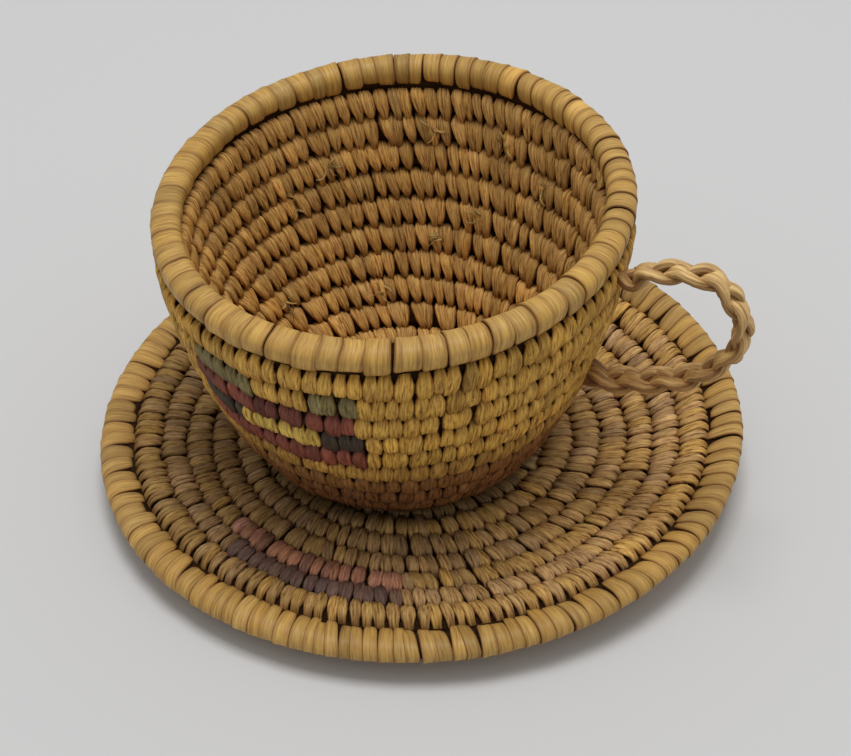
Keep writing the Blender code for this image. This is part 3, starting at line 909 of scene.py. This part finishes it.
def add_rim(ring, body, spacing, thickness, base, random):
    """Broad smooth splints wrapped over the rim row, each lapping over the one before."""
    q = ring.march(0.0, 1.0, spacing, WRAP_JITTER, random)
    q = q / (q[-1] + (q[-1] - q[-2]))
    count = len(q)
    width = np.gradient(q) * ring.turn_length(q) * random.uniform(*WRAP_WIDTHS, count)
    bulge = thickness * random.uniform(*WRAP_BULGES, count)
    leans = [
        lean + spread * random.standard_normal(count)
        for lean, spread in zip(WRAP_LEANS, WRAP_LEAN_SPREADS)
    ]
    straps = Straps(ring, RIM_WRAP, q, width, bulge, leans, random)
    tint = varied(base, count, random, 0.10, 0.05)
    piece = ("smooth_rim_splint", body, "rim_splint", [body + "_rim_binding"])
    straps.place(body + "_rim_wraps", np.arange(count), tint, tint, piece)


def add_vessel(scene, body, coil, stitches, wraps):
    """One vessel from its coil: the bundle, the stitches that sew it and the bound rim.

    Stitches and wraps are what add_stitches and add_rim take between body and random.
    """
    # The bundle's near black colour is painted shade
    dark = scene.basket_colours.bundle
    random = random_for(scene, body)
    wall = (body + "_bundle", coil.first, coil.wall_end)
    add_bundle(coil, *wall, WALL_BUNDLE, dark, body, [body + "_sewn_coil"])
    ring = coil.rim_ring(*RIM_SHARES[body])
    wide, tall, low = RIM_BUNDLE
    shares = (wide, tall, low / RIM_SHARES[body][0])
    add_bundle(ring, body + "_rim_bundle", 0.0, 1.0, shares, dark, body, [])
    add_stitches(coil, body, *stitches, random)
    add_rim(ring, body, *wraps, random)


def saucer_tints(coil, q, random):
    """One tint for both faces: greyish and ochre rows, lighter towards the right as painted light.
    """
    colours = bpy.context.scene.basket_colours
    grey = varied(colours.saucer, len(q), random, 0.13, 0.05)
    ochre = varied(colours.saucer_ochre, len(q), random, 0.10, 0.05)
    row = np.sin(np.floor(q) * 2.6 + 0.4) * 0.5 + 0.5
    share = np.clip(0.75 * row + 0.3 * random.standard_normal(len(q)), 0, 1)[:, None]
    # Painted light: the saucer is lighter towards the right, where the light falls more
    faded = 1.04 + 0.26 * np.cos(coil.angle(q) - math.radians(20))
    tint = (grey * (1 - share) + ochre * share) * faded[:, None]
    return tint, tint


def cup_tints(coil, q, random):
    """Outside: golden rows, redder and darker ones at the foot, their darkness partly painted
    shade, fresh ones between the dark blocks.
    """
    colours = bpy.context.scene.basket_colours
    inside = varied(colours.cup_inside, len(q), random, 0.14, 0.05)
    upper = varied(colours.cup_outside, len(q), random, 0.10, 0.04)
    low = varied(colours.cup_low_with_shade, len(q), random, 0.12, 0.05)
    rows_down = coil.turns - q
    # The rows near the foot blend to the low colour, whose darkness is partly painted shade
    share = np.clip((rows_down - 5.0) / 2.0, 0, 1)[:, None]
    outside = upper * (1 - share) + low * share
    fresh = (q > coil.spans[DARK_RIGHT][3]) & (q < coil.spans[DARK_LEFT][2])
    yellow = varied(colours.yellow, len(q), random, 0.08, 0.03)
    outside[fresh] = yellow[fresh]
    return outside, inside


class BASKET_OT_saucer(Operator):
    """Sews the saucer's rows, its dyed stitches and its rim"""

    bl_idname = "basket.saucer"
    bl_label = "Saucer"

    NEAR_ANGLE = math.radians(-78)
    NEAR_SPREAD = math.radians(32)
    LEANS = (0.0, 1.2 * MM)

    def execute(self, context):
        scene = context.scene
        sewing, colours = scene.basket_sewing, scene.basket_colours
        coil = saucer_coil(scene)

        def spacing(q):
            away = (coil.angle(q) - self.NEAR_ANGLE + math.pi) % math.tau - math.pi
            near = math.exp(-((away / self.NEAR_SPREAD) ** 2))
            return sewing.saucer_wrap * (1 - near) + sewing.saucer_wrap_near * near

        dyes = {"red": colours.rose, "dark": colours.plum}
        stitches = (FLAT_STITCH, sewing.saucer_stitch, sewing.stitch_thickness, self.LEANS)
        wraps = (spacing, sewing.wrap_thickness * SAUCER_WRAP_SHARE, colours.saucer_rim)
        add_vessel(scene, "saucer", coil, (*stitches, saucer_tints, dyes), wraps)
        return {"FINISHED"}


class BASKET_OT_cup(Operator):
    """Sews the cup's rows, its dyed stitches and its rim"""

    bl_idname = "basket.cup"
    bl_label = "Cup"

    NEAR_ANGLE = math.radians(-115)
    LEANS = (0.2 * MM, 1.9 * MM)

    def execute(self, context):
        scene = context.scene
        sewing, colours = scene.basket_sewing, scene.basket_colours
        coil = cup_coil(scene)

        def spacing(q):
            near = 0.5 + 0.5 * math.cos(coil.angle(q) - self.NEAR_ANGLE)
            return sewing.cup_wrap_far * (1 - near) + sewing.cup_wrap * near

        dyes = {"red": colours.red, "dark": colours.dark, "green": colours.green}
        stitches = (WALL_STITCH, sewing.cup_stitch, sewing.stitch_thickness, self.LEANS)
        wraps = (spacing, sewing.wrap_thickness, colours.cup_rim)
        add_vessel(scene, "cup", coil, (*stitches, cup_tints, dyes), wraps)
        return {"FINISHED"}


class BASKET_OT_knots(Operator):
    """Ties the start knots in the eyes of both spirals"""

    bl_idname = "basket.knots"
    bl_label = "Start Knots"

    def execute(self, context):
        scene = context.scene
        colours = scene.basket_colours
        self.tie(scene, "saucer", np.zeros(3), colours.saucer)
        self.tie(scene, "cup", cup_seat(scene), colours.cup_low_with_shade)
        return {"FINISHED"}

    def tie(self, scene, vessel, origin, tint):
        """A low round lump whose wraps are told apart by five grooves."""
        sewing = scene.basket_sewing
        phi = np.linspace(0, math.tau, KNOT_SIDES, endpoint=False)[None, :]
        level = np.linspace(-math.pi / 2, math.pi / 2, KNOT_LEVELS + 2)[1:-1, None]
        groove = np.abs(np.sin(2.5 * phi))
        radius = sewing.eye_radius * KNOT_SHARE
        out = np.cos(level) ** 0.45 * (1 - 0.1 * groove) * radius
        rise = (np.sin(level) * 0.5 + 0.5) * sewing.coil_thickness + 0 * phi
        points = np.stack([out * np.cos(phi), out * np.sin(phi), rise], axis=-1) + origin
        faces = tube_faces(KNOT_LEVELS, KNOT_SIDES)
        maps = (phi * 2.0, rise / MM)
        piece = ("sewn_grass", vessel, vessel + "_grass", [vessel + "_start_knot"])
        # The grooves are darkened as painted shade through the crevice value
        make_mesh(vessel + "_knot_wraps", points, faces, maps, np.array(tint), groove / 2, piece)


class BASKET_OT_frayed_ends(Operator):
    """Lets some broken fibres stand out of the cup's inner rows"""

    bl_idname = "basket.frayed_ends"
    bl_label = "Frayed Ends"

    # Ranges of a fibre's length, place, rise and thickness in millimetres, and its curl
    LENGTHS, SIDEWAYS, UPWARDS, RISES = (1.8, 3.6), (-0.9, 0.9), (-1.0, 1.0), (0.5, 1.3)
    THICKNESSES, CURLS = (0.2, 0.38), (-0.7, 0.7)

    def execute(self, context):
        scene = context.scene
        coil = cup_coil(scene)
        random = random_for(scene, "frayed")
        places = [coil.count_at(*place) for place in FRAYED_PLACES for _ in range(FIBRES_PER_END)]
        corner = np.arange(FIBRE_SIDES) * math.tau / FIBRE_SIDES
        fibres = [self.fibre(coil, q, corner, random) for q in places]
        points = np.stack([made for made, _ in fibres])
        starts = np.array([start for _, start in fibres])[:, None, None]
        tint = varied(scene.basket_colours.frayed, len(places), random, 0.2, 0.06)[:, None, None]
        faces = tube_faces(FIBRE_STEPS, FIBRE_SIDES, len(places))
        piece = ("sewn_grass", "cup", "cup_grass", [])
        make_mesh("cup_frayed_ends", points, faces, (corner, starts), tint, 0.0, piece)
        return {"FINISHED"}

    def fibre(self, coil, q, corner, random):
        """One thin fibre that rises from the inner face and curls along it, and its grain."""
        t = np.linspace(0, 1, FIBRE_STEPS)
        away = random.uniform(*self.LENGTHS) * MM * t
        turn = random.uniform(0, math.tau) + random.uniform(*self.CURLS) * t
        sideways = random.uniform(*self.SIDEWAYS) * MM + away * np.cos(turn)
        count = q + sideways / coil.turn_length(q)
        up = random.uniform(*self.UPWARDS) * MM + away * np.sin(turn)
        out = (0.2 + random.uniform(*self.RISES) * np.sin(math.pi * t * 0.8)) * MM
        thick = (random.uniform(*self.THICKNESSES) * MM * (1 - 0.75 * t))[:, None]
        lift_up = up[:, None] + thick * np.cos(corner)
        lift_out = -out[:, None] - thick * np.sin(corner)
        inner = np.full(lift_up.shape, -1.0)
        count = np.broadcast_to(count[:, None], lift_up.shape)
        points = coil.points(count, inner, 0 * inner, lift_out, lift_up)
        return points, random.uniform(0, 50)


def wall_seat(coil, row, touch):
    """Where a strand meets the flat outer face of a row at the handle, and that face's normal."""
    centre, direction = coil.meridian.at(coil.place(coil.count_at(row, 0.0))[0])
    normal = np.array((direction[1], -direction[0]))
    return centre + normal * (coil.thickness / 2 + touch), normal


def handle_route(coil, handle, rim_radius, touch):
    """The handle's centre line in the upright plane through the cup's axis, as (r, z) points."""
    rows = range(3, coil.turns)
    heights = [abs(wall_seat(coil, row, touch)[0][1] - handle.lower_height) for row in rows]
    lower_row = rows[heights.index(min(heights))]
    upper, upper_normal = wall_seat(coil, 2, touch)
    lower, lower_normal = wall_seat(coil, lower_row, touch)
    reach = rim_radius + handle.reach
    points = [upper - upper_normal * ROOT_DEPTH, upper + upper_normal * handle.root_run]
    points += [upper + np.array(step) * MM for step in HANDLE_UPPER_RUN]
    for inset, share in HANDLE_BEND:
        points.append(np.array((reach + inset * MM, lower[1] + share * (upper[1] - lower[1]))))
    points += [lower + np.array(step) * MM for step in HANDLE_LOWER_RUN]
    points += [lower + lower_normal * handle.root_run, lower - lower_normal * ROOT_DEPTH]
    return np.array(points)


def smooth_route(points, count):
    """Evenly spaced points on a Catmull-Rom curve through the given ones, and their distances."""
    ends = [2 * points[0] - points[1], *points, 2 * points[-1] - points[-2]]
    t = np.linspace(0.0, 1.0, ROUTE_STEPS, endpoint=False)[:, None]
    fine = [
        0.5 * (2 * b + (c - a) * t + (2 * a - 5 * b + 4 * c - d) * t**2)
        + 0.5 * (3 * b - a - 3 * c + d) * t**3
        for a, b, c, d in zip(ends, ends[1:], ends[2:], ends[3:])
    ]
    fine = np.vstack([*fine, points[-1]])
    steps = np.linalg.norm(np.diff(fine, axis=0), axis=1)
    along = np.concatenate([[0.0], np.cumsum(steps)])
    places = np.linspace(0.0, along[-1], count)
    return places, np.stack([np.interp(places, along, fine[:, i]) for i in (0, 1)], axis=1)


def unit(vectors):
    return vectors / np.linalg.norm(vectors, axis=1)[:, None]


class BASKET_OT_handle(Operator):
    """Plaits the handle from three folded strips"""

    bl_idname = "basket.handle"
    bl_label = "Handle"

    # A strip's rise over the others as a share of its thickness, its twist in radians, and how
    # it narrows at the roots
    RISE = 0.62
    TWIST = 0.35
    ROOT_NARROWING = 0.45

    # Where on the way the lower colour sets in and over how much of it, and how much painted shade
    # darkens a strip at its edges, at its roots and where another strip covers it
    LOW_START, LOW_SPAN = 0.45, 0.3
    PAINTED_SHADE = (0.6, 1.3, 0.5)

    def execute(self, context):
        scene = context.scene
        handle, cup = scene.basket_handle, scene.basket_cup
        random = random_for(scene, "handle")
        touch = scene.basket_sewing.touch
        points = handle_route(cup_coil(scene), handle, cup.rim_diameter / 2, touch)
        plaited_length = smooth_route(points, 2)[0][-1] - 2 * handle.plait_root
        thirds = max(3, round(3 * plaited_length / handle.plait_period))
        places, route = smooth_route(points, STEPS_PER_THIRD * thirds + 1)
        plaited = np.clip((places - handle.plait_root) / plaited_length, 0.0, 1.0)
        for strand in range(3):
            phase = math.tau * (thirds * plaited + strand) / 3
            self.plait(scene, strand, phase, places, route, random)
        return {"FINISHED"}

    def plait(self, scene, strand, phase, places, route, random):
        """One flat strip that weaves from side to side over and under the other two."""
        handle, colours = scene.basket_handle, scene.basket_colours
        tangent = unit(np.gradient(route, axis=0))
        across = handle.strip_swing * (np.sin(phase) - np.sin(3 * phase) / 12)
        lift = handle.strip_thickness * self.RISE * np.sin(2 * phase)
        r, z = route[:, 0] - tangent[:, 1] * lift, route[:, 1] + tangent[:, 0] * lift
        centre = np.stack([r, across, z], axis=-1)
        along = unit(np.gradient(centre, axis=0))
        flat_normal = np.stack([-tangent[:, 1], 0 * lift, tangent[:, 0]], axis=-1)
        side = unit(np.cross(along, flat_normal))
        normal = np.cross(side, along)
        twist = self.TWIST * np.cos(phase)[:, None]
        side, normal = (
            side * np.cos(twist) + normal * np.sin(twist),
            normal * np.cos(twist) - side * np.sin(twist),
        )
        phi = np.linspace(0, math.tau, STRIP_SIDES, endpoint=False)
        cos, sin = np.cos(phi), np.sin(phi)
        swell = 1 + 0.08 * np.cos(2 * phase) + 0.03 * random.standard_normal(len(phase))
        rooted = np.exp(-(np.minimum(places, places[-1] - places) / handle.root_run))
        wide = handle.strip_width / 2 * swell * (1 - self.ROOT_NARROWING * rooted)
        thick = handle.strip_thickness / 2 * (1 + 0.06 * np.sin(phase * 2))
        x = np.sign(cos) * np.abs(cos) ** 0.5
        y = np.sign(sin) * np.abs(sin) ** 0.6 * (1 - 0.24 * np.cos(phi * 2 + 1.2))
        points = (
            centre[:, None, :]
            + side[:, None, :] * (wide[:, None] * x)[..., None]
            + normal[:, None, :] * (thick[:, None] * y)[..., None]
            + cup_seat(scene)
        )
        low = np.clip((places / places[-1] - self.LOW_START) / self.LOW_SPAN, 0, 1)
        low = low[:, None, None]
        tint = np.array(colours.handle) * (1 - low) + np.array(colours.handle_low) * low
        # Painted shade where another strip covers this one, at the roots and at the edges
        covered = np.maximum(-np.sin(2 * phase)[:, None] * np.sign(sin), 0)
        edge, root, cover = self.PAINTED_SHADE
        painted_shade = edge * np.abs(x) ** 8 + root * rooted[:, None] + cover * covered**1.5
        faces = tube_faces(len(phase), STRIP_SIDES)
        maps = (phi * 1.1, (places / MM)[:, None] + 13.0 * strand)
        piece = ("plaited_grass", "cup", "handle_grass", [f"handle_strand_{strand + 1}"])
        name = f"handle_strip_{strand + 1}"
        make_mesh(name, points, faces, maps, tint, np.clip(painted_shade, 0, 1), piece)


class BASKET_OT_stage(Operator):
    """Sets the pale floor, the soft light and the camera"""

    bl_idname = "basket.stage"
    bl_label = "Stage"

    FLOOR_HALF = 6.0
    LAMP_SIZE = 0.5
    LAMP_PLACE = (0.0, 0.06, 1.10)
    LAMP_AIM = (0.0, 0.0, 0.03)
    AIM_OUT, AIM_HEIGHT, AIM_SHIFT = 1.60 * MM, 18.05 * MM, 0.47 * MM

    def execute(self, context):
        scene = context.scene
        stage = scene.basket_stage
        self.lay_floor(scene, stage)
        self.light(scene, stage)
        self.aim_camera(scene, stage)
        scene.view_settings.view_transform = "Standard"
        return {"FINISHED"}

    def lay_floor(self, scene, stage):
        size = self.FLOOR_HALF
        data = bpy.data.meshes.new("floor")
        corners = [(-size, -size, 0), (size, -size, 0), (size, size, 0), (-size, size, 0)]
        data.from_pydata(corners, [], [(0, 1, 2, 3)])
        floor = bpy.data.objects.new("floor", data)
        scene.collection.objects.link(floor)
        material = bpy.data.materials.new("pale_floor")
        material.use_nodes = True
        tree = material.node_tree
        matt = {"Base Color": (*stage.floor, 1.0), "Roughness": 0.9, "Specular IOR Level": 0.1}
        give(tree, tree.nodes["Principled BSDF"], matt)
        data.materials.append(material)

    def light(self, scene, stage):
        """An even sky, which the camera sees in the floor's colour, and one large soft lamp."""
        world = bpy.data.worlds.new("studio")
        scene.world = world
        world.use_nodes = True
        tree = world.node_tree
        tree.nodes.clear()
        sky = {"Color": (1.0, 1.0, 1.0, 1.0), "Strength": stage.sky_strength}
        backdrop = {"Color": (*stage.floor, 1.0), "Strength": 1.0}
        even = add_node(tree, "ShaderNodeBackground", sky).outputs[0]
        seen = add_node(tree, "ShaderNodeBackground", backdrop).outputs[0]
        camera_ray = add_node(tree, "ShaderNodeLightPath", {}).outputs["Is Camera Ray"]
        mix = add_node(tree, "ShaderNodeMixShader", {0: camera_ray, 1: even, 2: seen})
        add_node(tree, "ShaderNodeOutputWorld", {"Surface": mix.outputs[0]})
        lamp = bpy.data.lights.new("soft_key", "AREA")
        lamp.shape = "SQUARE"
        lamp.size = self.LAMP_SIZE
        lamp.energy = stage.key_power
        key = bpy.data.objects.new("soft_key", lamp)
        scene.collection.objects.link(key)
        key.location = self.LAMP_PLACE
        aim = Vector(self.LAMP_AIM) - key.location
        key.rotation_euler = aim.to_track_quat("-Z", "Y").to_euler()

    def aim_camera(self, scene, stage):
        data = bpy.data.cameras.new("camera")
        camera = bpy.data.objects.new("camera", data)
        scene.collection.objects.link(camera)
        a, e, roll = stage.azimuth, stage.elevation, stage.roll
        back = Vector((math.sin(a) * math.cos(e), -math.cos(a) * math.cos(e), math.sin(e)))
        right = Vector((math.cos(a), math.sin(a), 0.0))
        up = back.cross(right)
        image_right = right * math.cos(roll) + up * math.sin(roll)
        image_up = up * math.cos(roll) - right * math.sin(roll)
        aim = right * self.AIM_OUT + Vector((0.0, 0.0, self.AIM_HEIGHT))
        aim -= (image_right + image_up) * self.AIM_SHIFT
        turn = Matrix((image_right, image_up, back)).transposed().to_4x4()
        camera.matrix_world = Matrix.Translation(aim + back * stage.distance) @ turn
        data.sensor_fit = "HORIZONTAL"
        data.sensor_width = 36.0
        data.lens = stage.lens
        data.clip_start = 0.01
        data.clip_end = 30.0
        data.dof.use_dof = False
        scene.camera = camera


class BASKET_PT_panel(Panel):
    """Lists the basket's pieces"""

    bl_idname = "BASKET_PT_panel"
    bl_label = "Coiled Grass Teacup"
    bl_space_type = "VIEW_3D"
    bl_region_type = "UI"
    bl_category = "Basket"

    def draw(self, context):
        layout = self.layout
        for operator in OPERATORS:
            layout.operator(operator.bl_idname)
        for label, _ in GROUPS:
            group = getattr(context.scene, label)
            box = layout.box()
            for key in type(group).__annotations__:
                box.prop(group, key)


GROUPS = (
    ("basket_cup", CupSizes),
    ("basket_saucer", SaucerSizes),
    ("basket_sewing", SewingSizes),
    ("basket_handle", HandleSizes),
    ("basket_colours", GrassColours),
    ("basket_stage", StageSettings),
)
OPERATORS = (
    BASKET_OT_saucer,
    BASKET_OT_cup,
    BASKET_OT_knots,
    BASKET_OT_frayed_ends,
    BASKET_OT_handle,
    BASKET_OT_stage,
)
CLASSES = (*(group for _, group in GROUPS), *OPERATORS, BASKET_PT_panel)


def register():
    for made in CLASSES:
        bpy.utils.register_class(made)
    for label, group in GROUPS:
        setattr(bpy.types.Scene, label, PointerProperty(type=group))


def unregister():
    for label, _ in GROUPS:
        delattr(bpy.types.Scene, label)
    for made in reversed(CLASSES):
        bpy.utils.unregister_class(made)


def main():
    register()
    for name in ("Cube", "Light", "Camera"):
        if name in bpy.data.objects:
            bpy.data.objects.remove(bpy.data.objects[name])
    bpy.ops.basket.saucer()
    bpy.ops.basket.cup()
    bpy.ops.basket.knots()
    bpy.ops.basket.frayed_ends()
    bpy.ops.basket.handle()
    bpy.ops.basket.stage()


if __name__ == "__main__":
    main()
